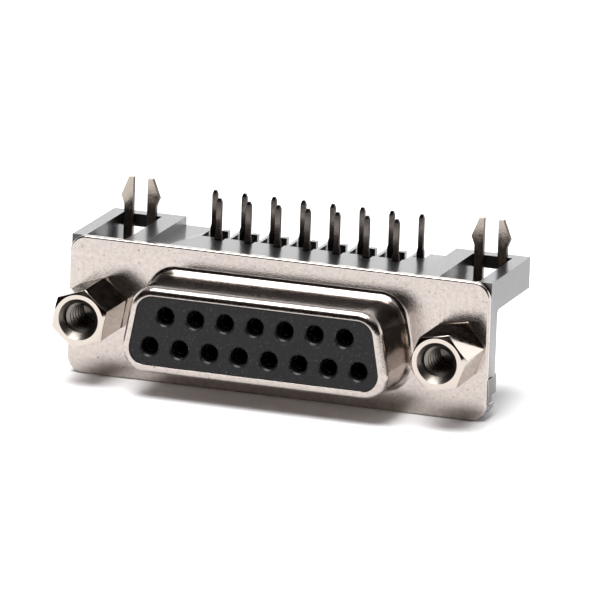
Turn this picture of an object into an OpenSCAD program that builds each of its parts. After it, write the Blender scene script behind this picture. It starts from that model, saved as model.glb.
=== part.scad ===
// Right-angle 15-way D-sub socket for a circuit board, lying with its solder
// tails up. The origin is the middle of the flange's front face: the plug
// comes in along +Y, the board lies on top, at +Z.

/* [Metal flange and collar] */
// Width of the flange
flange_w = 39.14; // [38.8:0.02:39.4]
// Height of the flange
flange_h = 12.55; // [12.3:0.05:12.8]
// Radius of the flange's corners
flange_r = 1.5; // [1.2:0.1:2]
// Rounding of the flange's front edge
flange_edge_r = 0.2; // [0.1:0.05:0.3]
// Thickness of the drawn steel sheet
sheet_t = 0.5; // [0.45:0.05:0.55]
// Thickness of the collar's wall, which drawing makes thinner
wall_t = 0.4; // [0.35:0.05:0.45]
// Half width of the D at mid-height, outside
collar_half_w = 12.1; // [11.9:0.05:12.3]
// Height of the D, outside
collar_h = 7.86; // [7.7:0.02:8]
// Radius of the D's corners, outside
collar_r = 2.3; // [2.1:0.1:2.5]
// Slope of the D's short sides
side_angle = 10; // [8:1:12]
// How far the collar stands out of the flange
collar_len = 6.05; // [5.8:0.05:6.2]
// Outer radius of the lip rolled in at the mouth
lip_r = 0.78; // [0.7:0.02:0.9]
// Radius of the draw between flange and collar
root_r = 0.6; // [0.4:0.1:0.8]

/* [Contacts] */
// Distance between neighbours in a row
pitch = 2.77; // [2.7:0.01:2.8]
// Distance between the two rows of sockets
row_gap = 2.84; // [2.7:0.02:2.9]
// Contacts in the long row
long_row = 8; // [8]
// Diameter of the holes in the front insulator
hole_d = 1.6; // [1.56:0.02:1.7]
// Outer diameter of a socket
socket_d = 1.5; // [1.4:0.02:1.52]
// Bore of a socket
socket_bore_d = 1.02; // [1:0.01:1.06]
// How deep the sockets sit behind the insulator's face
socket_recess = 0.9; // [0.6:0.1:1.2]
// Distance from the flange's front to the nearer row of tails
tail_row_y = 7.4; // [7.2:0.1:7.6]
// Distance between the two rows of tails
tail_row_gap = 2.7; // [2.54:0.02:2.84]
// Height of the tails' tips above the middle
tail_top = 9.17; // [9:0.01:9.6]
// Width of a tail below the board
tail_w = 0.64; // [0.6:0.02:0.7]
// Width of a tail in the board
tail_tip_w = 0.46; // [0.4:0.02:0.5]
// Thickness of a tail
tail_t = 0.4; // [0.3:0.05:0.45]

/* [Jack screws] */
// Distance between the two jack screws
jack_span = 33.32; // [33.3:0.01:33.34]
// Width across the flats of the hexagon
hex_af = 4.75; // [4.7:0.01:4.8]
// Length of the hexagon
hex_len = 5.25; // [4.8:0.05:5.6]
// Minor diameter of the 4-40 thread in the hexagon
jack_bore_d = 2.26; // [2.2:0.02:2.38]
// Depth of that thread
jack_bore_depth = 4.5; // [4:0.1:4.8]
// Mouth of the countersink
countersink_d = 3.7; // [3.4:0.1:3.9]
// Depth of the countersink down to the thread's major diameter
countersink_depth = 0.9; // [0.5:0.1:1.1]
// Major diameter of the 4-40 thread, and of the stud behind the hexagon
stud_d = 2.84; // [2.8:0.01:2.84]
// Length of the stud
stud_len = 6.3; // [5.5:0.1:6.5]
// How far the left hexagon is turned
hex_turn_left = 20; // [0:1:59]
// How far the right hexagon is turned
hex_turn_right = 10; // [0:1:59]

/* [Moulded housing] */
// Thickness of the plate behind the flange
plate_t = 1.8; // [1.7:0.05:2]
// How far the housing reaches back from the flange's front
housing_depth = 11.1; // [10.9:0.05:11.3]
// Height of the face that the board lies on
seat_z = 6.2; // [6.1:0.02:6.26]
// Height of the sunk deck between the brackets
deck_z = 5.4; // [5.2:0.05:5.5]
// Thickness of the deck
deck_t = 1.6; // [1.2:0.1:1.8]
// Half width of the deck
deck_half_w = 12.7; // [12.6:0.05:13]
// Height of a bracket's side walls
bracket_h = 2.8; // [2.4:0.1:2.9]
// Inner side of a bracket's pocket, from the middle
pocket_in = 14.6; // [14.4:0.05:14.6]
// Outer side of a bracket's pocket, from the middle
pocket_out = 18.3; // [18.25:0.05:18.5]
// Thickness of a bracket's rear bar
bar_t = 1.2; // [1:0.05:1.3]
// Height of a bracket's rear bar
bar_h = 1.15; // [1:0.05:1.4]

/* [Board locks] */
// Thickness of the locks' bronze sheet
lock_t = 0.5; // [0.4:0.05:0.65]
// Distance from the flange's front to the fork
lock_y = 9.4; // [9.3:0.05:9.5]
// Width of the fork's stem
stem_w = 3; // [2.9:0.05:3.1]
// Width across the barbs
barb_w = 3.6; // [3.4:0.05:3.8]
// Slit between the prongs
slit_w = 1.35; // [1.2:0.05:1.5]
// Height of the prongs' tips
lock_top = 9.7; // [9.5:0.05:9.9]

/* [Hidden] */
$fn = 48;

gap = 0.03;              // moulded pieces clear the metal by this much
over = 0.1;              // cutters reach this far past a face
steel = [0.80, 0.77, 0.74];
bronze = [0.66, 0.62, 0.56];
plastic = [0.14, 0.14, 0.15];

// Corner centres of the D. Every outline parallel to it has the same ones.
d_up = collar_h / 2 - collar_r;
function d_side(z) =
    collar_half_w - collar_r / cos(side_angle) - z * tan(side_angle);
D_CORNERS = [[d_side(-d_up), -d_up], [d_side(d_up), d_up],
             [-d_side(d_up), d_up], [-d_side(-d_up), -d_up]];
flange_x = flange_w / 2 - flange_r;
flange_z = flange_h / 2 - flange_r;
FLANGE_CORNERS = [[flange_x, -flange_z], [flange_x, flange_z],
                  [-flange_x, flange_z], [-flange_x, -flange_z]];

plate_back = sheet_t + plate_t;
rim_t = 1;               // thickness of the front insulator's rear rim
rim_r = collar_r + root_r + 0.5;
rim_back = sheet_t + rim_t;
face_out = collar_len - 0.1;
block_back = 6.4;        // rear face of the block that holds the contacts
block_half_w = 14;
cheek_in = 10.6;         // inner side of the cheeks that guard the tails' legs
cheek_back = 10.5;
cheek_chamfer = 1.5;
block_bottom = -5.2;
pocket_floor_z = 3.2;    // the plate is cut away above this in a bracket's pocket
neck_d = 1.2;            // contact behind its collar
stud_hole_d = stud_d + 0.22;
tab_z = [-4.1, -2.5];    // the clinched tabs, low on the flange's short sides
tab_root = [-4.75, 1.6]; // a tab is wider down to this z, up to this y
tab_bend = 0.55;         // outer radius of a tab's bend
tab_reach = 1.4;         // length of a tab's hook behind the plate
tab_pad = 0.4;           // seat under the hook, on the plate's rear face
tab_gap = 0.15;          // above and below a tab in its notch
shoulder_d = 2;          // collar that holds a contact between the mouldings
shoulder_t = 0.6;
window_y = 8;            // front side of the windows for the tails
near_side = 0.45;        // from the middle of a tail to its window's side
far_side = 0.6;
tie_z = 4.65;            // top of the bar that ties the comb's teeth
tie_w = 0.6;
post_x = -0.52;          // from a front tail to the post behind it
fork_in = 0.2;           // the fork stands nearer the middle than the screw
strap_z = 2.4;           // underside of the board lock's strap
slit_z = 3.7;            // bottom of the slit between the prongs
prong_tip_w = 0.45;

function x_of(n) = n <= long_row ? (n - (long_row + 1) / 2) * pitch
                                 : (n - 1.5 * long_row) * pitch;
function z_of(n) = (n <= long_row ? -1 : 1) * row_gap / 2;
function tail_y_of(n) = tail_row_y + (n <= long_row ? tail_row_gap : 0);

// ---- helpers ------------------------------------------------------------

// Stands a drawing of the front view up: its x is X, its y is Z, and what is
// extruded grows towards the plug.
module upright() {
    rotate([90, 0, 0]) children();
}

// A slab of the front view between two distances behind the flange's front.
module slab(front, back) {
    translate([0, back, 0]) upright() linear_extrude(back - front) children();
}

function turn(c, i) = let (p = c[i], q = c[(i + 1) % len(c)])
    atan2(q[1] - p[1], q[0] - p[0]) - 90;
function on_circle(p, r, a) = [p[0] + r * cos(a), p[1] + r * sin(a)];

// Flat outline at the distance r round a loop of corner centres.
module outline(c, r) {
    n = len(c);
    polygon([for (i = [0:n - 1], a = [turn(c, (i + n - 1) % n), turn(c, i)])
        on_circle(c[i], r, a)]);
    for (p = c) translate(p) circle(r);
}

// Carries a section round a loop of square corners. The section's x is the
// distance from a corner centre, its y grows towards the plug.
module carry_round(c) {
    n = len(c);
    for (i = [0:n - 1]) {
        run = norm(c[(i + 1) % n] - c[i]);
        translate(c[i]) {
            rotate_extrude(start = turn(c, i) - 90, angle = 90) children();
            rotate(turn(c, i)) translate([0, run, 0]) rotate([90, 0, 0])
                linear_extrude(run) children();
        }
    }
}

// Points along an arc from angle a to angle b, in n steps.
function arc(centre, r, a, b, n) =
    [for (k = [0:n]) on_circle(centre, r, a + (b - a) * k / n)];

// Sweeps a section, given as points, round a loop with corners of any angle.
module sweep_round(c, section, step) {
    n = len(c);
    m = len(section);
    stations = [for (i = [0:n - 1])
        let (before = turn(c, (i + n - 1) % n),
             span = (turn(c, i) - before + 360) % 360,
             steps = ceil(span / step))
        for (k = [0:steps]) [c[i], before + span * k / steps]];
    count = len(stations);
    polyhedron(
        points = [for (s = stations, p = section)
            concat(on_circle(s[0], p[0], s[1]), p[1])],
        faces = [for (i = [0:count - 1], j = [0:m - 1])
            [i * m + j, i * m + (j + 1) % m,
             (i + 1) % count * m + (j + 1) % m, (i + 1) % count * m + j]]);
}

// A quarter of a ring, centred on the origin, in the corner of +x and +y.
module quarter_ring(inner, outer) {
    intersection() {
        difference() {
            circle(outer);
            circle(inner);
        }
        square(outer);
    }
}

// A closed outline from its right half, listed from the bottom up.
function mirrored(right) =
    let (n = len(right))
    concat(right, [for (i = [n - 1:-1:0]) [-right[i][0], right[i][1]]]);

module both_sides() {
    children();
    mirror([1, 0, 0]) children();
}

// ---- front shell --------------------------------------------------------

// The sheet from the flange through the draw, along the wall and round the
// lip, seen in section.
root_centre = [collar_r + root_r, root_r];
lip_centre = [collar_r - lip_r, collar_len - lip_r];
COLLAR_SECTION = concat(
    [[collar_r + root_r + over, -sheet_t], [collar_r + root_r + over, 0]],
    arc(root_centre, root_r, 270, 180, 6),
    arc(lip_centre, lip_r, 0, 90, 8),
    arc(lip_centre, lip_r - wall_t, 90, 0, 4),
    [for (k = [0:6])
        on_circle(root_centre, root_r + wall_t + (sheet_t - wall_t) * k / 6, 180 + 15 * k)]);

// The edge of the flange in section, rounded at the front.
module flange_edge_section() {
    inner = flange_r - flange_edge_r;
    translate([inner - over, -sheet_t]) square([over + flange_edge_r, sheet_t - flange_edge_r]);
    translate([inner - over, -sheet_t]) square([over, sheet_t]);
    translate([inner, -flange_edge_r]) circle(flange_edge_r);
}

// A tab folded back round the plate's side and clinched behind it.
module clinch_tab() {
    outer = flange_w / 2;
    hook_y = plate_back + tab_pad + sheet_t;
    translate([0, 0, tab_z[0]]) linear_extrude(tab_z[1] - tab_z[0]) {
        translate([outer - sheet_t, sheet_t / 2])
            square([sheet_t, hook_y - tab_bend - sheet_t / 2]);
        translate([outer - tab_bend, hook_y - tab_bend])
            quarter_ring(tab_bend - sheet_t, tab_bend);
        translate([outer - tab_bend - tab_reach, hook_y - sheet_t])
            square([tab_reach, sheet_t]);
    }
    box([outer - sheet_t, outer], [sheet_t / 2, tab_root[1]], [tab_root[0], tab_z[1]]);
}

module front_shell() {
    color(steel) {
        slab(0, sheet_t) difference() {
            outline(FLANGE_CORNERS, flange_r - flange_edge_r - over / 2);
            outline(D_CORNERS, collar_r + root_r + over / 2);
            both_sides() translate([jack_span / 2, 0]) circle(d = stud_hole_d);
        }
        upright() sweep_round(D_CORNERS, COLLAR_SECTION, 7.5);
        upright() carry_round(FLANGE_CORNERS) flange_edge_section();
        both_sides() clinch_tab();
    }
}

// ---- front insulator ----------------------------------------------------

module socket_holes(d) {
    for (n = [1:2 * long_row - 1]) translate([x_of(n), z_of(n)]) circle(d = d);
}

module front_insulator() {
    color(plastic) difference() {
        union() {
            slab(-face_out, rim_back) outline(D_CORNERS, collar_r - lip_r - gap);
            slab(-(collar_len - lip_r), rim_back)
                outline(D_CORNERS, collar_r - wall_t - gap);
            slab(sheet_t, rim_back) outline(D_CORNERS, rim_r);
        }
        slab(-face_out - over, rim_back + over) socket_holes(hole_d);
        slab(rim_back - shoulder_t, rim_back + over) socket_holes(shoulder_d + 2 * gap);
    }
}

// ---- housing ------------------------------------------------------------

module box(x, y, z) {
    translate([x[0], y[0], z[0]]) cube([x[1] - x[0], y[1] - y[0], z[1] - z[0]]);
}

// A window in the deck's rear edge, closed low down by the tie bar.
module tail_window(x, front) {
    through = [deck_z - deck_t - over, deck_z + over];
    box(x, [front, housing_depth - tie_w], through);
    box(x, [front, housing_depth + over], [tie_z, deck_z + over]);
}

// Each pair of tails shares a window, and the long row's last has its own.
module comb_cuts() {
    for (n = [1:long_row - 1]) {
        front_x = x_of(n) + pitch / 2;
        tail_window([x_of(n) - near_side, front_x + far_side], window_y);
        box([front_x - near_side, front_x + near_side],
            [tail_row_y - tail_t, window_y + over],
            [deck_z - deck_t - over, deck_z + over]);
    }
    tail_window([x_of(long_row) - near_side, x_of(long_row) + far_side],
        tail_row_y + tail_row_gap - 2 * tail_t);
}

// Short posts on the tie bar, one between the two tails of each pair.
module comb_posts() {
    half = 0.3;
    for (n = [1:long_row - 1]) {
        x = x_of(n) + pitch / 2 + post_x;
        box([x - half, x + half], [housing_depth - tie_w, housing_depth],
            [tie_z - over, deck_z]);
    }
}

// A bracket's side wall in the Y-Z plane, from the flange on, with a fillet
// below it.
module wall_side() {
    bottom = seat_z - bracket_h;
    fillet = 0.5;
    translate([sheet_t, bottom]) square([housing_depth - sheet_t, bracket_h]);
    difference() {
        translate([plate_back - over, bottom - fillet]) square([fillet + over, fillet]);
        translate([plate_back + fillet, bottom - fillet]) circle(fillet);
    }
}

// The two walls and the rear bar that the board lies on at one end.
module bracket() {
    for (x = [[deck_half_w, pocket_in], [pocket_out, flange_w / 2]])
        translate([x[0], 0, 0]) rotate([90, 0, 90])
            linear_extrude(x[1] - x[0]) wall_side();
    box([pocket_in - over, pocket_out + over],
        [housing_depth - bar_t, housing_depth], [seat_z - bar_h, seat_z]);
}

// One of the cheeks that carry the deck and guard the legs of the tails.
module cheek() {
    front = block_back - over;
    top = deck_z - deck_t + over;
    translate([cheek_in, 0, 0]) rotate([90, 0, 90]) linear_extrude(block_half_w - cheek_in)
        polygon([[front, block_bottom], [cheek_back - cheek_chamfer, block_bottom],
                 [cheek_back, block_bottom + cheek_chamfer], [cheek_back, top], [front, top]]);
}

module housing() {
    color(plastic) {
        difference() {
            union() {
                slab(sheet_t, plate_back) outline(FLANGE_CORNERS, flange_r);
                box([-block_half_w, block_half_w], [plate_back - over, block_back],
                    [block_bottom, deck_z - deck_t + over]);
                box([-deck_half_w - over, deck_half_w + over],
                    [plate_back - over, housing_depth], [deck_z - deck_t, deck_z]);
                both_sides() {
                    bracket();
                    cheek();
                    box([flange_w / 2 - tab_bend - tab_reach - over, flange_w / 2 - tab_bend],
                        [plate_back - over, plate_back + tab_pad], tab_z);
                }
            }
            // pocket for the front insulator's rim, and the contacts' holes
            slab(sheet_t - over, rim_back) outline(D_CORNERS, rim_r + gap);
            slab(sheet_t, block_back + over) socket_holes(neck_d + 0.1);
            // the deck is sunk between the brackets, right up to the flange
            box([-deck_half_w, deck_half_w], [0, plate_back + over], [deck_z, flange_h]);
            box([-flange_w, flange_w], [0, plate_back + over], [seat_z, flange_h]);
            both_sides() {
                box([pocket_in, pocket_out], [0, plate_back + over],
                    [pocket_floor_z, flange_h]);
                slab(0, plate_back + over)
                    translate([jack_span / 2, 0]) circle(d = stud_hole_d);
                box([flange_w / 2 - sheet_t, flange_w], [0, plate_back + over],
                    [tab_root[0] - tab_gap, tab_z[1] + tab_gap]);
            }
            comb_cuts();
        }
        comb_posts();
    }
}

// ---- contacts -----------------------------------------------------------

// A leg's side view in the Y-Z plane: back from the socket, then up.
module leg_side(z, tail_y) {
    bend = 1;
    start = 3.4;
    chisel = 0.35;
    back = tail_y + tail_t / 2;
    under = z - tail_t / 2;
    translate([start, under]) square([back - bend - start, tail_t]);
    translate([back - bend, under + bend]) rotate(-90) quarter_ring(bend - tail_t, bend);
    polygon([[back - tail_t, under + bend], [back, under + bend],
             [back, tail_top - chisel], [tail_y + tail_t / 4, tail_top],
             [tail_y - tail_t / 4, tail_top], [back - tail_t, tail_top - chisel]]);
}

// The same leg from the front: wide below the board, narrow with a tapered
// tip above it.
module leg_front(z) {
    step_z = seat_z - 0.1;
    step = 0.3;
    tip = 0.35;
    right = [[tail_w / 2, z - 1], [tail_w / 2, step_z - step], [tail_tip_w / 2, step_z],
             [tail_tip_w / 2, tail_top - tip], [tail_tip_w / 4, tail_top]];
    polygon(mirrored(right));
}

// The socket, its collar and its neck, turned about the contact's axis.
module contact_turned() {
    lead = 0.12;
    tail_end = 4;
    chamfer = 0.1;
    socket_floor = 0.4;
    mouth = face_out - socket_recess;
    r = socket_d / 2;
    bore_r = socket_bore_d / 2;
    neck_r = neck_d / 2;
    rotate_extrude() difference() {
        polygon([[0, -tail_end - chamfer], [neck_r - chamfer, -tail_end - chamfer],
                 [neck_r, -tail_end], [neck_r, -rim_back], [shoulder_d / 2, -rim_back],
                 [shoulder_d / 2, shoulder_t - rim_back], [r, shoulder_t - rim_back],
                 [r, mouth - lead], [r - lead, mouth], [0, mouth]]);
        polygon([[-1, socket_floor], [0, socket_floor], [bore_r, socket_floor + bore_r / 2],
                 [bore_r, mouth - lead], [bore_r + lead, mouth], [bore_r + lead, mouth + over],
                 [-1, mouth + over]]);
    }
}

module contact(n) {
    slit = 0.22;
    slit_len = 3.2;
    x = x_of(n);
    z = z_of(n);
    color(steel) {
        translate([x, 0, z]) difference() {
            upright() contact_turned();
            box([-socket_d, socket_d], [-face_out, -face_out + socket_recess + slit_len],
                [-slit / 2, slit / 2]);
        }
        translate([x, 0, 0]) intersection() {
            translate([-tail_w, 0, 0]) rotate([90, 0, 90])
                linear_extrude(2 * tail_w) leg_side(z, tail_y_of(n));
            slab(0, housing_depth) leg_front(z);
        }
    }
}

// ---- jack screws --------------------------------------------------------

// A hexagon with a thread for the plug's screw, and the stud behind it.
module jackscrew(side) {
    corner_r = hex_af / 2 / cos(30);
    face_r = 2.25;
    wide_r = corner_r + over;
    chamfer = 0.35;
    full_bore = hex_len - countersink_depth - (stud_d - jack_bore_d) / 2;
    bore_floor = hex_len - jack_bore_depth;
    stud_r = stud_d / 2;
    stud_chamfer = 0.3;
    color(steel) translate([side * jack_span / 2, 0, 0]) upright() {
        difference() {
            intersection() {
                rotate(side < 0 ? hex_turn_left : hex_turn_right)
                    cylinder(h = hex_len, r = corner_r, $fn = 6);
                rotate_extrude() polygon([[0, 0], [face_r, 0], [wide_r, chamfer],
                    [wide_r, hex_len - chamfer], [face_r, hex_len], [0, hex_len]]);
            }
            rotate_extrude() polygon([[0, bore_floor - jack_bore_d / 4],
                [jack_bore_d / 2, bore_floor], [jack_bore_d / 2, full_bore],
                [stud_d / 2, hex_len - countersink_depth], [countersink_d / 2, hex_len],
                [countersink_d / 2, hex_len + over], [0, hex_len + over]]);
        }
        rotate_extrude() polygon([[0, over], [stud_r, over], [stud_r, stud_chamfer - stud_len],
            [stud_r - stud_chamfer, -stud_len], [0, -stud_len]]);
    }
}

// ---- board locks --------------------------------------------------------

// The fork from the front: two barbed prongs on one stem.
module fork() {
    bottom = strap_z + lock_t + 0.1;
    notch_z = 7.2;
    barb_z = 8;
    difference() {
        polygon(mirrored([[stem_w / 2, bottom], [stem_w / 2, notch_z], [barb_w / 2, barb_z],
                          [slit_w / 2 + prong_tip_w, lock_top]]));
        translate([-slit_w / 2, slit_z + slit_w / 2]) square([slit_w, lock_top]);
        translate([0, slit_z + slit_w / 2]) circle(d = slit_w);
    }
}

// The strip from the side: down the plate, back under the bracket, then up.
module strip_side() {
    bend = lock_t + 0.3;
    front = plate_back;
    back = lock_y + lock_t / 2;
    lap = 0.1;
    translate([front, strap_z - lock_t - lap]) square([lock_t, 2 * lock_t + lap - bend]);
    translate([front + bend, strap_z + lock_t - bend])
        rotate(90) quarter_ring(bend - lock_t, bend);
    translate([front + bend, strap_z]) square([back - front - 2 * bend, lock_t]);
    translate([back - bend, strap_z + bend]) rotate(-90) quarter_ring(bend - lock_t, bend);
}

// A bent strip that the jack screw holds to the plate: a foot with a threaded
// boss, a strap under the bracket and the fork that snaps into the board.
module board_lock(side) {
    foot_half_w = 2.4;
    foot_bottom = -2.4;
    boss_d = 4.2;
    boss_t = 1.6;
    fork_x = -side * fork_in;
    front = plate_back;
    back = lock_y + lock_t / 2;
    color(bronze) translate([side * jack_span / 2, 0, 0]) difference() {
        union() {
            box([-foot_half_w, foot_half_w], [front, front + lock_t],
                [foot_bottom, strap_z - lock_t]);
            translate([fork_x - stem_w / 2, 0, 0]) rotate([90, 0, 90])
                linear_extrude(stem_w) strip_side();
            slab(back - lock_t, back) translate([fork_x, 0]) fork();
            slab(front, front + lock_t + boss_t) circle(d = boss_d);
        }
        slab(front - over, front + lock_t + boss_t + over) circle(d = stud_d + 0.02);
    }
}

front_shell();
front_insulator();
housing();
jackscrew(-1);  // jackscrew_left
jackscrew(1);  // jackscrew_right
board_lock(-1);  // board_lock_left
board_lock(1);  // board_lock_right
for (n = [1:2 * long_row - 1])
    contact(n);
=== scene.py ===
"""A right-angle D-sub socket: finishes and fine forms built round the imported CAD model.

Run as a script. Every piece lies in the CAD model's own frame, in metres: +X to the right seen
from the plug, +Y back from the flange, +Z up towards the circuit board.
"""

import math

import bmesh
import bpy
from mathutils import Matrix, Vector


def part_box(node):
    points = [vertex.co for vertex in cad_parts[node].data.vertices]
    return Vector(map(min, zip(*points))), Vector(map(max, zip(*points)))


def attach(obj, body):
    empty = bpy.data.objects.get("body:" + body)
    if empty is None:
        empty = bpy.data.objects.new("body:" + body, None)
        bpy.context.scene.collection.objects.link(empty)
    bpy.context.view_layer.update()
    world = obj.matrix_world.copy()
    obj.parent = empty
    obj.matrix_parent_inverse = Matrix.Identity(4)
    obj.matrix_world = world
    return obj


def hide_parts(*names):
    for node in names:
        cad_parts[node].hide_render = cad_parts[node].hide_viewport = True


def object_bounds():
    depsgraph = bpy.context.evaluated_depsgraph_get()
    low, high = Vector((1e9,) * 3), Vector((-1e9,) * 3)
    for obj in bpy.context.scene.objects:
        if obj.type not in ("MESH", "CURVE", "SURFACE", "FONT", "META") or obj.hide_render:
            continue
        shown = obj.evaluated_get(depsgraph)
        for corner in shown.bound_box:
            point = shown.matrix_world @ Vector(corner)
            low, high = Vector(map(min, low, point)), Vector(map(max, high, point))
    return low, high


bl_info = {
    "name": "D-sub socket",
    "version": (1, 0, 0),
    "blender": (4, 5, 0),
    "location": "View3D > Sidebar > D-sub",
    "description": "Builds a 15-way right-angle D-sub socket round its CAD frame",
    "category": "Add Mesh",
}

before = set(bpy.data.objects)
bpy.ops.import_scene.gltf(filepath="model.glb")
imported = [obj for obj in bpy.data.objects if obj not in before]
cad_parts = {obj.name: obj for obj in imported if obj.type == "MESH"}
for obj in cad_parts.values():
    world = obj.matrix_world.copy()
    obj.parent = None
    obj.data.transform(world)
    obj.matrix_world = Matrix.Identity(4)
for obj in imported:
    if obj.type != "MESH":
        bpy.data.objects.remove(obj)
CAD_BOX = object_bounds()

MM = 0.001
BODY = "root"
WELD = 0.0005 * MM  # vertices nearer than this are one
FLANGE_LOW, FLANGE_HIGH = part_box("front_shell")
JACK_X = sum(corner.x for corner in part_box("jackscrew_right")) / 2
LONG_ROW, SHORT_ROW = 8, 7
CONTACTS = [f"contact_{n + 1}" for n in range(LONG_ROW + SHORT_ROW)]
SIDES = {"left": -1, "right": 1}
CREASE = 40  # degrees between two faces from which their edge is sharp
THREAD_STEPS = 4  # steps of a thread's profile in one pitch
RELIEF = 0.02 * MM  # height of the finest bumps
SENSOR = 36  # millimetres
NOISE_LOW, NOISE_HIGH = 0.3, 0.7  # noise seldom leaves this range


# ---- settings ---------------------------------------------------------------


def length(name, description, mm):
    """A setting in millimetres."""
    return bpy.props.FloatProperty(
        name=name, description=description, default=mm * MM, min=0, unit="LENGTH", precision=5)


def angle(name, description, degrees):
    """A setting in degrees."""
    return bpy.props.FloatProperty(
        name=name, description=description, default=math.radians(degrees), subtype="ANGLE",
        unit="ROTATION")


def share(name, description, value, top=1.0):
    """A setting without a unit, from 0 to top."""
    return bpy.props.FloatProperty(
        name=name, description=description, default=value, min=0, max=top)


def linear(hex_colour):
    """An sRGB hex colour as linear red, green, blue and alpha."""
    values = [int(hex_colour[i:i + 2], 16) / 255 for i in (1, 3, 5)]
    return tuple(
        v / 12.92 if v <= 0.04045 else ((v + 0.055) / 1.055) ** 2.4 for v in values) + (1.0,)


def colour(name, description, hex_colour):
    """A setting that holds a colour."""
    return bpy.props.FloatVectorProperty(
        name=name, description=description, default=linear(hex_colour), size=4, min=0, max=1,
        subtype="COLOR")


class ShellSettings(bpy.types.PropertyGroup):
    """Sizes and colour of the drawn shell"""

    sheet: length("Sheet", "Thickness of the flange's steel sheet", 0.5)
    wall: length("Wall", "Thickness of the drawn collar's wall", 0.4)
    collar_half_width: length("Collar half width", "Half width of the D at mid-height", 12.1)
    collar_height: length("Collar height", "Height of the D", 7.86)
    collar_radius: length("Collar radius", "Radius of the D's corners", 2.3)
    side_angle: angle("Side angle", "Slope of the D's short sides", 10)
    lip_radius: length("Lip radius", "Outer radius of the lip rolled in at the mouth", 0.78)
    root_radius: length("Root radius", "Radius of the draw between flange and collar", 0.6)
    flange_radius: length("Flange radius", "Radius of the flange's corners", 1.5)
    front_edge: length("Front edge", "Rounding of the flange's front edge", 0.2)
    back_edge: length("Back edge", "Rounding of the sheet's other edges", 0.04)
    tab_top: length("Tab top", "Top of the clinched tabs, below the middle", 2.5)
    tab_root: length("Tab root", "Bottom of a tab's root, below the middle", 4.75)
    tab_hook: length("Tab hook", "Bottom of a tab's hook, below the middle", 4.1)
    tab_step: length("Tab step", "Where the root narrows, behind the flange's front", 1.6)
    tab_bend: length("Tab bend", "Outer radius of a tab's bend", 0.55)
    tab_reach: length("Tab reach", "Length of a tab's hook", 1.4)
    hole: length("Stud hole", "Diameter of the holes for the jack screws' studs", 3.06)
    nickel: colour("Nickel", "Matt nickel plating on the steel", "#BCB3AD")


class PlasticSettings(bpy.types.PropertyGroup):
    """Sizes and colour of the two mouldings"""

    edge: length("Edge", "Rounding of the mouldings' edges", 0.07)
    pitch: length("Pitch", "Between neighbouring holes of a row", 2.77)
    row_gap: length("Row gap", "Between the two rows of holes", 2.84)
    mouth: length("Mouth", "Width of the chamfer that leads into a hole", 0.16)
    black: colour("Black", "Black PBT", "#151416")


class ScrewSettings(bpy.types.PropertyGroup):
    """Sizes and colour of the jack screws"""

    across_flats: length("Across flats", "Width of the hexagon", 4.75)
    face_radius: length("Face radius", "Radius of the chamfer's circle on the face", 2.25)
    chamfer: length("Chamfer", "Depth of the chamfer at the corners", 0.29)
    thread_minor: length("Thread minor", "Minor diameter of the 4-40 thread", 2.26)
    thread_major: length("Thread major", "Major diameter of the 4-40 thread", 2.84)
    thread_pitch: length("Thread pitch", "Pitch of the 4-40 thread", 0.635)
    thread_chamfer: length("Thread chamfer", "Chamfer on the stud's end", 0.3)
    countersink: length("Countersink", "Diameter of the countersink's mouth", 3.7)
    countersink_depth: length("Countersink depth", "Depth of the countersink's cone", 0.9)
    bore_depth: length("Bore depth", "Depth of the threaded hole", 4.5)
    edge: length("Edge", "Rounding of the hexagon's edges", 0.04)
    turn_left: angle("Left turn", "How far the left hexagon is turned", 20)
    turn_right: angle("Right turn", "How far the right hexagon is turned", 10)
    nickel: colour("Nickel", "Bright nickel plating", "#BFB6AD")


class StripSettings(bpy.types.PropertyGroup):
    """Edges and colours of the board locks"""

    edge: length("Edge", "Rounding of the punched strip's edges", 0.05)
    tin: colour("Tin", "Tin plating on phosphor bronze", "#A39A90")
    # The dark colour is also painted shade on the sides of the board locks' blades.
    bare_and_shade: colour("Bare", "Phosphor bronze at the cut edges", "#4A3F37")


class ContactSettings(bpy.types.PropertyGroup):
    """Edges and colours of the contacts"""

    edge: length("Edge", "Rounding of a contact's edges", 0.04)
    tin: colour("Tin", "Dull tin plating on the contacts", "#645E5A")
    # The dark colour is also painted shade on the sides of the contacts.
    bare_and_shade: colour("Bare", "Copper alloy at the cut edges", "#352D28")


class StageSettings(bpy.types.PropertyGroup):
    """Camera, light and floor"""

    azimuth: angle("Azimuth", "Where the camera stands round the part", 19.125)
    elevation: angle("Elevation", "Height of the camera above the horizon", 14.394)
    roll: angle("Roll", "Turn of the camera about its own axis", 1.964)
    distance: length("Distance", "From the camera to what it looks at", 917)
    lens: share("Lens", "Focal length in millimetres, for a full-frame sensor", 626.3, 5000)
    target: bpy.props.FloatVectorProperty(
        name="Target", description="The point that the camera looks at",
        default=(1.653 * MM, 1.239 * MM, 2.450 * MM), size=3, subtype="TRANSLATION",
        unit="LENGTH")
    room: share("Room", "Brightness of the dim room in front", 0.04)
    wood: colour("Wood", "Brown of the dim room in front", "#7A5442")
    ceiling: share("Ceiling", "Brightness of the ceiling", 0.6, 10)
    sweep: share("Sweep", "Brightness of the lit sweep behind", 1.9, 10)
    box_size: length("Box size", "Side of the soft box", 350)
    box_place: bpy.props.FloatVectorProperty(
        name="Box place", description="Middle of the soft box, over the part",
        default=(-50 * MM, -120 * MM, 500 * MM), size=3, subtype="TRANSLATION", unit="LENGTH")
    box_radiance: share("Box radiance", "Brightness of the soft box", 11.5, 100)
    floor: colour("Floor", "White paper sweep", "#F6F5F6")
    floor_size: length("Floor size", "Side of the floor", 1600)


SETTINGS = {
    "dsub_shell": ShellSettings,
    "dsub_plastic": PlasticSettings,
    "dsub_screws": ScrewSettings,
    "dsub_strip": StripSettings,
    "dsub_contacts": ContactSettings,
    "dsub_stage": StageSettings,
}


# ---- materials --------------------------------------------------------------


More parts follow.
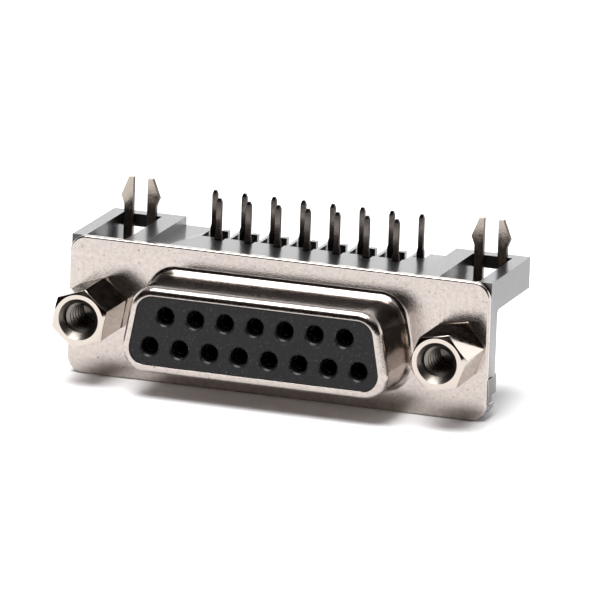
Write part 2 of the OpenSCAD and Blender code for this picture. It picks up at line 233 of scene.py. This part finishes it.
def add(tree, kind, inputs=None, output=0, **settings):
    """Adds a node with its settings, and returns one of its outputs.

    Inputs and output go by name or number. An input that is another node's output is linked.
    """
    node = tree.nodes.new(kind)
    for key, value in settings.items():
        setattr(node, key, value)
    for key, value in (inputs or {}).items():
        if isinstance(value, bpy.types.NodeSocket):
            tree.links.new(value, node.inputs[key])
        else:
            node.inputs[key].default_value = value
    return node.outputs[output]


def start(name, **surface):
    """A new material with its tree, its shader and its coordinates in millimetres."""
    material = bpy.data.materials.new(name)
    material.use_nodes = True
    tree = material.node_tree
    shader = tree.nodes["Principled BSDF"]
    for key, value in surface.items():
        shader.inputs[key.replace("_", " ")].default_value = value
    metres = add(tree, "ShaderNodeTexCoord", output="Object")
    where = add(tree, "ShaderNodeVectorMath", {0: metres, "Scale": 1 / MM}, operation="SCALE")
    return material, tree, shader, where


def dress(tree, shader, base, rough, height, strength):
    """Gives a shader its colour and roughness, and bumps as strong as said."""
    bump = add(tree, "ShaderNodeBump", {
        "Height": height, "Strength": strength, "Distance": RELIEF})
    for key, value in {"Base Color": base, "Roughness": rough, "Normal": bump}.items():
        tree.links.new(value, shader.inputs[key])


def shaded(value, by):
    """A colour, darkened."""
    return tuple(v * by for v in value[:3]) + (1.0,)


def nickel_plated_sheet():
    """Cold-rolled steel, deep drawn, with a matt nickel plating.

    Gives the warm grey of nickel with the fine mottle of rolled sheet, and a few
    darker handling marks. Behind the flange the colour is painted nearly black, as painted
    shade.
    The grain of the sheet is finer than 0.05 mm, and is drawn 0.16 mm across to show.
    """
    s = bpy.context.scene.dsub_shell
    grain_size, mottle_size, mark_size = 0.16, 0.4, 0.3
    material, tree, shader, where = start("matt_nickel_on_drawn_steel", Metallic=1.0)
    grain = add(tree, "ShaderNodeTexNoise", {
        "Vector": where, "Scale": 1 / grain_size, "Detail": 3.0, "Roughness": 0.6})
    mottle = add(tree, "ShaderNodeTexNoise", {
        "Vector": where, "Scale": 1 / mottle_size, "Detail": 4.0, "Roughness": 0.7})
    mottle = add(tree, "ShaderNodeMapRange", {
        "Value": mottle, "From Min": 0.35, "From Max": 0.65})
    marks = add(tree, "ShaderNodeTexNoise", {"Vector": where, "Scale": 1 / mark_size})
    marks = add(tree, "ShaderNodeMapRange", {
        "Value": marks, "From Min": 0.64, "From Max": 0.7})
    # Painted shade: from just behind the flange's sheet backwards, the nickel is darkened to
    # 0.12 of its colour.
    depth = add(tree, "ShaderNodeSeparateXYZ", {0: where}, "Y")
    painted_back_shade = add(tree, "ShaderNodeMapRange", {
        "Value": depth, "From Min": s.sheet / MM, "From Max": s.sheet / MM + 0.1})
    base = add(tree, "ShaderNodeMix", {
        "Factor": mottle, 6: shaded(s.nickel, 0.8), 7: s.nickel}, 2, data_type="RGBA")
    base = add(tree, "ShaderNodeMix", {
        "Factor": marks, 6: base, 7: shaded(s.nickel, 0.5)}, 2, data_type="RGBA")
    # Painted shade behind the flange, laid over the mottle and the marks.
    base = add(tree, "ShaderNodeMix", {
        "Factor": painted_back_shade, 6: base, 7: shaded(s.nickel, 0.12)}, 2, data_type="RGBA")
    rough = add(tree, "ShaderNodeMapRange", {
        "Value": grain, "From Min": NOISE_LOW, "From Max": NOISE_HIGH, "To Min": 0.12,
        "To Max": 0.22})
    dress(tree, shader, base, rough, grain, 0.4)
    return material


def nickel_plated_bar():
    """Turned and milled steel bar with a bright nickel plating: sharp reflections.

    The tapped hole and the stud are duller, and their colour is darkened as painted shade.
    """
    s = bpy.context.scene.dsub_screws
    cloud_size, ripple_size = 0.8, 0.3
    material, tree, shader, where = start("bright_nickel_on_turned_steel", Metallic=1.0)
    cloud = add(tree, "ShaderNodeTexNoise", {"Vector": where, "Scale": 1 / cloud_size})
    ripple = add(tree, "ShaderNodeTexNoise", {"Vector": where, "Scale": 1 / ripple_size})
    split = add(tree, "ShaderNodeSeparateXYZ", {0: where}).node.outputs
    across = add(tree, "ShaderNodeMath", {0: split["X"]}, operation="ABSOLUTE")
    across = add(tree, "ShaderNodeMath", {0: across, 1: JACK_X / MM}, operation="SUBTRACT")
    spoke = add(tree, "ShaderNodeCombineXYZ", {"X": across, "Y": split["Z"]})
    radius = add(tree, "ShaderNodeVectorMath", {0: spoke}, "Value", operation="LENGTH")
    rim = s.countersink / 2 / MM
    fade = 0.02
    # Painted shade: inside the countersink's rim, in the bore and on the stud, the nickel is
    # darkened to 0.35 of its colour. It is also rougher there.
    inside = add(tree, "ShaderNodeMapRange", {
        "Value": radius, "From Min": rim + fade, "From Max": rim - fade})
    base = add(tree, "ShaderNodeMix", {
        "Factor": cloud, 6: shaded(s.nickel, 0.93), 7: s.nickel}, 2, data_type="RGBA")
    # Painted shade in the hole and on the stud.
    base = add(tree, "ShaderNodeMix", {
        "Factor": inside, 6: base, 7: shaded(s.nickel, 0.35)}, 2, data_type="RGBA")
    rough = add(tree, "ShaderNodeMapRange", {
        "Value": cloud, "From Min": NOISE_LOW, "From Max": NOISE_HIGH, "To Min": 0.06,
        "To Max": 0.14})
    rough = add(tree, "ShaderNodeMix", {"Factor": inside, 2: rough, 3: 0.3})
    dress(tree, shader, base, rough, ripple, 0.08)
    return material


def moulded_pbt(name, speck_share, skin_share, shine, rough_low, rough_high):
    """Glass-filled black PBT, moulded: satin black with pale glass specks at the surface.

    The resin-rich skin of a moulding gives pale reflections at a shallow angle. The higher
    speck_share is, the fewer specks show. Glass fibres are 0.01 mm thick, too fine to show,
    so the specks are drawn 0.09 mm across.
    """
    s = bpy.context.scene.dsub_plastic
    grain_size, speck_size, speck_edge = 0.12, 0.09, 0.03
    material, tree, shader, where = start(
        name, IOR=1.5, Specular_IOR_Level=shine, Coat_Weight=skin_share,
        Coat_Roughness=0.18, Coat_IOR=1.55)
    grain = add(tree, "ShaderNodeTexNoise", {
        "Vector": where, "Scale": 1 / grain_size, "Detail": 3.0, "Roughness": 0.6})
    specks = add(tree, "ShaderNodeTexNoise", {
        "Vector": where, "Scale": 1 / speck_size, "Detail": 1.0})
    specks = add(tree, "ShaderNodeMapRange", {
        "Value": specks, "From Min": speck_share, "From Max": speck_share + speck_edge})
    base = add(tree, "ShaderNodeMix", {
        "Factor": specks, 6: s.black, 7: linear("#8A8A88")}, 2, data_type="RGBA")
    rough = add(tree, "ShaderNodeMapRange", {
        "Value": grain, "From Min": NOISE_LOW, "From Max": NOISE_HIGH, "To Min": rough_low,
        "To Max": rough_high})
    dress(tree, shader, base, rough, grain, 0.2)
    return material


def tinned_strip(name, tin, bare_and_shade, rough_low, rough_high):
    """Copper alloy strip, tinned before it was punched: bright faces, slightly wavy.

    Faces turned to either side take the dark colour, which gives each blade a dark outline: bare
    metal where they are cut edges, and painted shade on the rest of the blades' sides.
    """
    cloud_size, ripple_size = 0.5, 0.2
    material, tree, shader, where = start(name, Metallic=1.0)
    cloud = add(tree, "ShaderNodeTexNoise", {"Vector": where, "Scale": 1 / cloud_size})
    ripple = add(tree, "ShaderNodeTexNoise", {"Vector": where, "Scale": 1 / ripple_size})
    normal = add(tree, "ShaderNodeNewGeometry", output="True Normal")
    sideways = add(tree, "ShaderNodeSeparateXYZ", {0: normal}, "X")
    sideways = add(tree, "ShaderNodeMath", {0: sideways}, operation="ABSOLUTE")
    # Partly painted shade: all faces turned along X take the dark colour, the cut edges and the
    # broad sides alike.
    cut = add(tree, "ShaderNodeMapRange", {"Value": sideways, "From Min": 0.3, "From Max": 0.6})
    base = add(tree, "ShaderNodeMix", {
        "Factor": cloud, 6: shaded(tin, 0.85), 7: tin}, 2, data_type="RGBA")
    base = add(tree, "ShaderNodeMix", {"Factor": cut, 6: base, 7: bare_and_shade}, 2, data_type="RGBA")
    rough = add(tree, "ShaderNodeMapRange", {
        "Value": cloud, "From Min": NOISE_LOW, "From Max": NOISE_HIGH, "To Min": rough_low,
        "To Max": rough_high})
    rough = add(tree, "ShaderNodeMix", {"Factor": cut, 2: rough, 3: 0.4})
    dress(tree, shader, base, rough, ripple, 0.2)
    return material


def white_paper():
    """Uncoated white paper, calendered: matt, with the faint cloud of its fibres.

    The cloud is drawn 0.4 mm across, coarser than the fibres, to show.
    """
    s = bpy.context.scene.dsub_stage
    cloud_size = 0.4
    material, tree, shader, where = start(
        "white_paper_sweep", Roughness=0.9, Specular_IOR_Level=0.1)
    fibre = add(tree, "ShaderNodeTexNoise", {
        "Vector": where, "Scale": 1 / cloud_size, "Detail": 3.0})
    base = add(tree, "ShaderNodeMix", {
        "Factor": fibre, 6: shaded(s.floor, 0.995), 7: s.floor}, 2, data_type="RGBA")
    tree.links.new(base, shader.inputs["Base Color"])
    return material


# ---- meshes -----------------------------------------------------------------


def piece(name, bm, material, nodes, sharp=CREASE):
    """Makes a piece from a bmesh, stands it for CAD nodes and lets it ride on the body.

    Its edges are sharp where faces meet at more than sharp degrees.
    """
    mesh = bpy.data.meshes.new(name)
    bm.to_mesh(mesh)
    bm.free()
    mesh.materials.append(material)
    obj = bpy.data.objects.new(name, mesh)
    bpy.context.scene.collection.objects.link(obj)
    for polygon in mesh.polygons:
        polygon.use_smooth = True
    mesh.set_sharp_from_angle(angle=math.radians(sharp))
    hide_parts(*nodes)
    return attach(obj, BODY)


def soften(obj, width):
    """Rounds a piece's sharp edges by width, and returns the modifier."""
    bevel = obj.modifiers.new("edges", "BEVEL")
    bevel.width = width
    bevel.segments = 2
    bevel.limit_method = "ANGLE"
    bevel.angle_limit = math.radians(CREASE)
    bevel.harden_normals = True
    bevel.miter_outer = "MITER_ARC"
    return bevel


def from_node(node):
    """The CAD node's own form as a clean mesh, its flat faces whole."""
    bm = bmesh.new()
    bm.from_mesh(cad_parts[node].data)
    bmesh.ops.remove_doubles(bm, verts=bm.verts, dist=WELD)
    bmesh.ops.dissolve_limit(
        bm, angle_limit=math.radians(1), verts=bm.verts, edges=bm.edges)
    return bm


def heading(centres, i):
    """Outward angle of the straight side that leaves corner i."""
    p, q = centres[i % len(centres)], centres[(i + 1) % len(centres)]
    return math.atan2(q[1] - p[1], q[0] - p[0]) - math.pi / 2


def stations(centres, step):
    """Corner centre and outward angle at each place round a loop with round corners."""
    out = []
    for i, centre in enumerate(centres):
        before = heading(centres, i - 1)
        span = (heading(centres, i) - before) % math.tau
        steps = math.ceil(span / step)
        out += [(centre, before + span * k / steps) for k in range(steps + 1)]
    return out


def arc(centre, radius, a, b, steps):
    """Points of a section along an arc from a to b degrees."""
    turns = [math.radians(a + (b - a) * k / steps) for k in range(steps + 1)]
    return [(centre[0] + radius * math.cos(t), centre[1] + radius * math.sin(t)) for t in turns]


def skin(bm, rings, closed=True):
    """Joins rings of points into one skin, and returns the rings' vertices."""
    rows = [[bm.verts.new(p) for p in ring] for ring in rings]
    for near, far in zip(rows, rows[1:]):
        for i in range(len(near) - (not closed)):
            j = (i + 1) % len(near)
            bm.faces.new((near[i], near[j], far[j], far[i]))
    return rows


def sweep(bm, around, section):
    """Sweeps an open section round a loop, and returns its first and last rings of edges."""
    rows = skin(bm, [[(c[0] + r * math.cos(a), -out, c[1] + r * math.sin(a)) for c, a in around]
                     for r, out in section])
    return ring_edges(bm, rows[0]), ring_edges(bm, rows[-1])


def ring_edges(bm, ring):
    """The edges of a closed ring of vertices."""
    return [bm.edges.get((a, b)) or bm.edges.new((a, b))
            for a, b in zip(ring, ring[1:] + ring[:1])]


def corner_centres(half_low, half_high, half_height):
    """Corner centres of a shape that may be wider at one end, counter-clockwise."""
    return [(half_low, -half_height), (half_high, half_height),
            (-half_high, half_height), (-half_low, -half_height)]


# ---- front shell ------------------------------------------------------------


def collar_section(s, mouth):
    """The sheet through the draw, along the collar's wall and round its lip, and back.

    The lip's outer skin turns further than its inner one, and its round edge joins them.
    """
    root = (s.collar_radius + s.root_radius, s.root_radius)
    lip = (s.collar_radius - s.lip_radius, mouth - s.lip_radius)
    cut = s.back_edge
    outer_turn, inner_turn = 84, 80
    steps = 10
    bend = [math.radians(180 + 90 * k / steps) for k in range(steps + 1)]
    radii = [s.root_radius + s.wall + (s.sheet - s.wall) * k / steps for k in range(steps + 1)]
    return (
        arc(root, s.root_radius, 270, 180, steps)
        + arc(lip, s.lip_radius, 0, outer_turn, 14)
        + arc((lip[0] + cut, mouth - cut), cut, 90, 180, 3)
        + arc((lip[0] + cut, mouth - s.wall + cut), cut, 180, 270, 3)
        + arc(lip, s.lip_radius - s.wall, inner_turn, 0, 5)
        + [(root[0] + r * math.cos(t), root[1] + r * math.sin(t)) for r, t in zip(radii, bend)])


def stud_hole(bm, s, side):
    """The wall of the hole that a jack screw's stud passes, and its front and back edges."""
    steps = 40
    turns = [math.tau * k / steps for k in range(steps)]
    rows = skin(bm, [[(side * JACK_X + s.hole / 2 * math.cos(t), y, s.hole / 2 * math.sin(t))
                      for t in turns] for y in (0, s.sheet)])
    return ring_edges(bm, rows[0]), ring_edges(bm, rows[1])


def clinch_tab(bm, s, side):
    """A tab folded back round the plastic plate and clinched behind it."""
    outer, hook = FLANGE_HIGH.x, FLANGE_HIGH.y
    centre = (outer - s.tab_bend, hook - s.tab_bend)
    step = (s.sheet / 2, s.tab_step, s.tab_step + s.back_edge)
    tip = centre[0] - s.tab_reach
    outside = [(outer, y) for y in step] + arc(centre, s.tab_bend, 0, 90, 8) + [(tip, hook)]
    inside = [(outer - s.sheet, y) for y in step]
    inside += arc(centre, s.tab_bend - s.sheet, 0, 90, 8) + [(tip, hook - s.sheet)]
    lows = [-s.tab_root] * 2 + [-s.tab_hook] * (len(outside) - 2)
    rows = skin(bm, [[(side * x, y, z) for (x, y), z in (
        (o, -s.tab_top), (o, low), (i, low), (i, -s.tab_top))]
        for o, i, low in zip(outside, inside, lows)])
    bm.faces.new(rows[0])
    bm.faces.new(rows[-1])


def build_shell():
    """The drawn shell as one skin: collar, flange, stud holes and clinched tabs."""
    s = bpy.context.scene.dsub_shell
    fine = math.radians(4)
    mouth = -FLANGE_LOW.y
    up = s.collar_height / 2 - s.collar_radius
    middle = s.collar_half_width - s.collar_radius / math.cos(s.side_angle)
    lean = up * math.tan(s.side_angle)
    flange_x = FLANGE_HIGH.x - s.flange_radius
    flange_z = FLANGE_HIGH.z - s.flange_radius
    collar = stations(corner_centres(middle + lean, middle - lean, up), fine)
    rim = stations(corner_centres(flange_x, flange_x, flange_z), fine)
    front = (s.flange_radius - s.front_edge, -s.front_edge)
    back = (s.flange_radius - s.back_edge, s.back_edge - s.sheet)
    bm = bmesh.new()
    collar_front, collar_back = sweep(bm, collar, collar_section(s, mouth))
    rim_front, rim_back = sweep(
        bm, rim, arc(front, s.front_edge, 90, 0, 6) + arc(back, s.back_edge, 0, -90, 3))
    holes = [stud_hole(bm, s, side) for side in SIDES.values()]
    fronts = collar_front + rim_front + holes[0][0] + holes[1][0]
    backs = collar_back + rim_back + holes[0][1] + holes[1][1]
    for edges in (fronts, backs):
        bmesh.ops.triangle_fill(bm, edges=edges, use_beauty=True, use_dissolve=True)
    for side in SIDES.values():
        clinch_tab(bm, s, side)
    bmesh.ops.recalc_face_normals(bm, faces=bm.faces)
    return piece("shell", bm, nickel_plated_sheet(), ["front_shell"])


# ---- jack screws ------------------------------------------------------------


def thread(s, turns, low_y, high_y, low_r, high_r):
    """Rings of a threaded wall. Each follows the helix, so the ridges keep crisp corners.

    A profile has four steps: along the minor diameter, up, along the major one and down.
    The wall ends in circles of the given radii at both heights.
    """
    step = s.thread_pitch / THREAD_STEPS
    rings = []
    for k in range(-THREAD_STEPS, math.ceil((high_y - low_y) / step) + 1):
        radius = (s.thread_minor if k % THREAD_STEPS < 2 else s.thread_major) / 2
        ring = []
        for t in turns:
            y = low_y + (k + THREAD_STEPS * t / math.tau) * step
            if y <= low_y:
                ring.append((low_r, t, low_y))
            elif y >= high_y:
                ring.append((high_r, t, high_y))
            else:
                ring.append((radius, t, y))
        rings.append(ring)
    return rings


def build_jack_screw(side_name):
    """A hexagon with a threaded hole cut by a countersink, and the threaded stud behind it."""
    s = bpy.context.scene.dsub_screws
    node = f"jackscrew_{side_name}"
    low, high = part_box(node)
    x = SIDES[side_name] * JACK_X
    face = low.y
    floor = face + s.bore_depth
    minor, major = s.thread_minor / 2, s.thread_major / 2
    turn = s.turn_left if side_name == "left" else s.turn_right
    steps = 120
    turns = [turn + math.tau * k / steps for k in range(steps + 1)]

    def circle(radius, y):
        return [(radius, t, y) for t in turns]

    def side_at(t):
        """Distance of the hexagon's sides in the direction t."""
        off = (t - turn) % (math.pi / 3) - math.pi / 6
        return s.across_flats / 2 / math.cos(off)

    def chamfered(y, towards):
        """The line where the chamfer's cone cuts the sides, deepest at the corners."""
        corner = s.across_flats / 2 / math.cos(math.pi / 6)
        slope = towards * s.chamfer / (corner - s.face_radius)
        return [(side_at(t), t, y + slope * (side_at(t) - s.face_radius)) for t in turns]

    def countersunk(ring):
        """A ring of the thread, no narrower than the countersink's cone."""
        slope = (s.countersink / 2 - minor) / s.countersink_depth
        return [(max(r, s.countersink / 2 - slope * (y - face)), t, y) for r, t, y in ring]

    rings = [circle(0, floor + minor / 2)]
    rings += [countersunk(ring) for ring in thread(s, turns, face, floor, major, minor)[::-1]]
    rings += [circle(s.face_radius, face)]
    rings += [chamfered(face, 1), chamfered(0, -1), circle(s.face_radius, 0)]
    rings += thread(s, turns, 0, high.y - s.thread_chamfer, major, major)
    rings += [circle(major - s.thread_chamfer, high.y), circle(0, high.y)]
    bm = bmesh.new()
    skin(bm, [[(x + r * math.cos(t), y, r * math.sin(t)) for r, t, y in ring] for ring in rings],
         closed=False)
    bmesh.ops.remove_doubles(bm, verts=bm.verts, dist=WELD)
    bmesh.ops.recalc_face_normals(bm, faces=bm.faces)
    weight = bm.edges.layers.float.new("bevel_weight_edge")
    fold = math.radians(20)
    for edge in bm.edges:
        outer = all(math.hypot(v.co.x - x, v.co.z) > s.face_radius - WELD for v in edge.verts)
        ahead = all(v.co.y < WELD for v in edge.verts)
        edge[weight] = float(outer and ahead and edge.calc_face_angle(0) > fold)
    screw = piece(
        f"jack_screw_{side_name}", bm, nickel_plated_bar(), [node], sharp=25)
    soften(screw, s.edge).limit_method = "WEIGHT"
    return screw


# ---- mouldings, board locks and contacts ------------------------------------


def chamfer_mouths(bm, s):
    """Widens the front of each hole of the insulator, with the long row below the short one."""
    front = min(v.co.y for v in bm.verts)
    bmesh.ops.bisect_plane(bm, geom=bm.verts[:] + bm.edges[:] + bm.faces[:],
                           plane_co=(0, front + s.mouth, 0), plane_no=(0, 1, 0))
    centres = [((n - (count - 1) / 2) * s.pitch, z)
               for count, z in ((LONG_ROW, -s.row_gap / 2), (SHORT_ROW, s.row_gap / 2))
               for n in range(count)]
    for vertex in bm.verts:
        if vertex.co.y > front + WELD:
            continue
        for x, z in centres:
            spoke = Vector((vertex.co.x - x, 0, vertex.co.z - z))
            if spoke.length < s.pitch / 2:
                vertex.co += spoke.normalized() * s.mouth
    return bm


def build_mouldings():
    """The housing and the front insulator, in two grades of black."""
    s = bpy.context.scene.dsub_plastic
    satin = moulded_pbt("satin_black_pbt", speck_share=0.78, skin_share=0.6, shine=0.5,
                        rough_low=0.26, rough_high=0.42)
    housing = piece(
        "housing_moulding", from_node("housing"), satin, ["housing"])
    soften(housing, s.edge)
    specked = moulded_pbt("specked_black_pbt", speck_share=0.71, skin_share=0.0, shine=0.24,
                          rough_low=0.28, rough_high=0.45)
    bm = chamfer_mouths(from_node("front_insulator"), s)
    insulator = piece(
        "insulator_moulding", bm, specked, ["front_insulator"])
    soften(insulator, s.edge / 2)


def build_board_locks():
    """The forks at both ends, from the CAD nodes."""
    s = bpy.context.scene.dsub_strip
    finish = tinned_strip(
        "tinned_phosphor_bronze", s.tin, s.bare_and_shade, rough_low=0.12, rough_high=0.22)
    for side_name in SIDES:
        node = f"board_lock_{side_name}"
        lock = piece(f"lock_{side_name}", from_node(node), finish, [node])
        soften(lock, s.edge)


def build_contacts():
    """A pin piece for each contact, from the CAD nodes."""
    s = bpy.context.scene.dsub_contacts
    finish = tinned_strip("tinned_copper_alloy", s.tin, s.bare_and_shade, rough_low=0.12, rough_high=0.24)
    for node in CONTACTS:
        pin = piece(node.replace("contact", "pin"), from_node(node), finish,
                    [node])
        soften(pin, s.edge)


# ---- stage ------------------------------------------------------------------


def build_camera(s):
    """A camera that looks at its target from the given distance, azimuth and elevation."""
    data = bpy.data.cameras.new("camera")
    data.lens = s.lens
    data.sensor_width = SENSOR
    camera = bpy.data.objects.new("camera", data)
    bpy.context.scene.collection.objects.link(camera)
    ahead = Vector((-math.sin(s.azimuth) * math.cos(s.elevation),
                    math.cos(s.azimuth) * math.cos(s.elevation), -math.sin(s.elevation)))
    level = Vector((math.cos(s.azimuth), math.sin(s.azimuth), 0))
    over = level.cross(ahead)
    right = level * math.cos(s.roll) + over * math.sin(s.roll)
    up = over * math.cos(s.roll) - level * math.sin(s.roll)
    turn = Matrix((right, up, -ahead)).transposed().to_4x4()
    camera.matrix_world = Matrix.Translation(Vector(s.target) - ahead * s.distance) @ turn
    data.clip_start = s.distance * 0.1
    data.clip_end = s.distance * 10
    bpy.context.scene.camera = camera


def build_floor(s):
    """White paper under the part, at the height of its lowest point."""
    bm = bmesh.new()
    bmesh.ops.create_grid(bm, x_segments=2, y_segments=2, size=s.floor_size / 2)
    mesh = bpy.data.meshes.new("floor")
    bm.to_mesh(mesh)
    bm.free()
    mesh.materials.append(white_paper())
    floor = bpy.data.objects.new("floor", mesh)
    floor.location = (0, 0, CAD_BOX[0].z)
    bpy.context.scene.collection.objects.link(floor)


def build_light(s):
    """A bright sweep behind the part, a dim room in front, and a soft box overhead.

    Both give way to the ceiling, the sweep lower down than the room. Their tops are heights
    on a sphere round the part, from 0 at the horizon to 1 overhead.
    """
    sweep_top, sweep_end = 0.35, 0.55
    room_top, room_end = 0.65, 0.85
    seam = 0.2
    world = bpy.data.worlds.new("studio")
    world.use_nodes = True
    tree = world.node_tree
    where = add(tree, "ShaderNodeTexCoord", output="Generated")
    split = add(tree, "ShaderNodeSeparateXYZ", {0: where}).node.outputs
    behind = add(tree, "ShaderNodeMapRange", {
        "Value": split["Y"], "From Min": -seam, "From Max": seam})
    room = add(tree, "ShaderNodeMapRange", {
        "Value": split["Z"], "From Min": room_top, "From Max": room_end, "To Min": s.room,
        "To Max": s.ceiling})
    sweep_light = add(tree, "ShaderNodeMapRange", {
        "Value": split["Z"], "From Min": sweep_top, "From Max": sweep_end, "To Min": s.sweep,
        "To Max": s.ceiling})
    strength = add(tree, "ShaderNodeMix", {"Factor": behind, 2: room, 3: sweep_light})
    light_share = add(tree, "ShaderNodeMapRange", {
        "Value": strength, "From Min": s.room, "From Max": s.ceiling})
    tone = add(tree, "ShaderNodeMix", {
        "Factor": light_share, 6: s.wood, 7: (1, 1, 1, 1)}, 2, data_type="RGBA")
    background = tree.nodes["Background"]
    tree.links.new(strength, background.inputs["Strength"])
    tree.links.new(tone, background.inputs["Color"])
    bpy.context.scene.world = world
    data = bpy.data.lights.new("soft_box", "AREA")
    data.size = s.box_size
    data.energy = s.box_radiance * math.pi * s.box_size ** 2
    box = bpy.data.objects.new("soft_box", data)
    box.location = s.box_place
    box.rotation_euler = (-box.location).to_track_quat("-Z", "Y").to_euler()
    bpy.context.scene.collection.objects.link(box)
    bpy.context.scene.view_settings.view_transform = "Standard"


# ---- operators --------------------------------------------------------------


class DSUB_OT_shell(bpy.types.Operator):
    """Builds the drawn flange and collar with their clinched tabs"""

    bl_idname = "dsub.shell"
    bl_label = "Front shell"

    def execute(self, context):
        build_shell()
        return {"FINISHED"}


class DSUB_OT_plastic(bpy.types.Operator):
    """Builds the two black mouldings"""

    bl_idname = "dsub.plastic"
    bl_label = "Mouldings"

    def execute(self, context):
        build_mouldings()
        return {"FINISHED"}


class DSUB_OT_jack_screws(bpy.types.Operator):
    """Builds the hexagonal jack screws with their threads"""

    bl_idname = "dsub.jack_screws"
    bl_label = "Jack screws"

    def execute(self, context):
        for side_name in SIDES:
            build_jack_screw(side_name)
        return {"FINISHED"}


class DSUB_OT_board_locks(bpy.types.Operator):
    """Builds the two forked board locks"""

    bl_idname = "dsub.board_locks"
    bl_label = "Board locks"

    def execute(self, context):
        build_board_locks()
        return {"FINISHED"}


class DSUB_OT_contacts(bpy.types.Operator):
    """Builds the fifteen contacts with their sockets and solder tails"""

    bl_idname = "dsub.contacts"
    bl_label = "Contacts"

    def execute(self, context):
        build_contacts()
        return {"FINISHED"}


class DSUB_OT_stage(bpy.types.Operator):
    """Sets up the white floor, the studio light and the camera"""

    bl_idname = "dsub.stage"
    bl_label = "Stage"

    def execute(self, context):
        s = context.scene.dsub_stage
        build_camera(s)
        build_floor(s)
        build_light(s)
        return {"FINISHED"}


class DSUB_PT_panel(bpy.types.Panel):
    """Lists the builders"""

    bl_idname = "DSUB_PT_panel"
    bl_label = "D-sub socket"
    bl_space_type = "VIEW_3D"
    bl_region_type = "UI"
    bl_category = "D-sub"

    def draw(self, context):
        for operator in OPERATORS:
            self.layout.operator(operator.bl_idname)
        for name, group in SETTINGS.items():
            box = self.layout.box()
            for key in group.__annotations__:
                box.prop(getattr(context.scene, name), key)


OPERATORS = [DSUB_OT_stage, DSUB_OT_shell, DSUB_OT_plastic, DSUB_OT_jack_screws,
             DSUB_OT_board_locks, DSUB_OT_contacts]
CLASSES = list(SETTINGS.values()) + OPERATORS + [DSUB_PT_panel]


def register():
    for cls in CLASSES:
        bpy.utils.register_class(cls)
    for name, group in SETTINGS.items():
        setattr(bpy.types.Scene, name, bpy.props.PointerProperty(type=group))


def unregister():
    for name in SETTINGS:
        delattr(bpy.types.Scene, name)
    for cls in reversed(CLASSES):
        bpy.utils.unregister_class(cls)


def main():
    register()
    for operator in OPERATORS:
        group, name = operator.bl_idname.split(".")
        getattr(getattr(bpy.ops, group), name)()


if __name__ == "__main__":
    main()
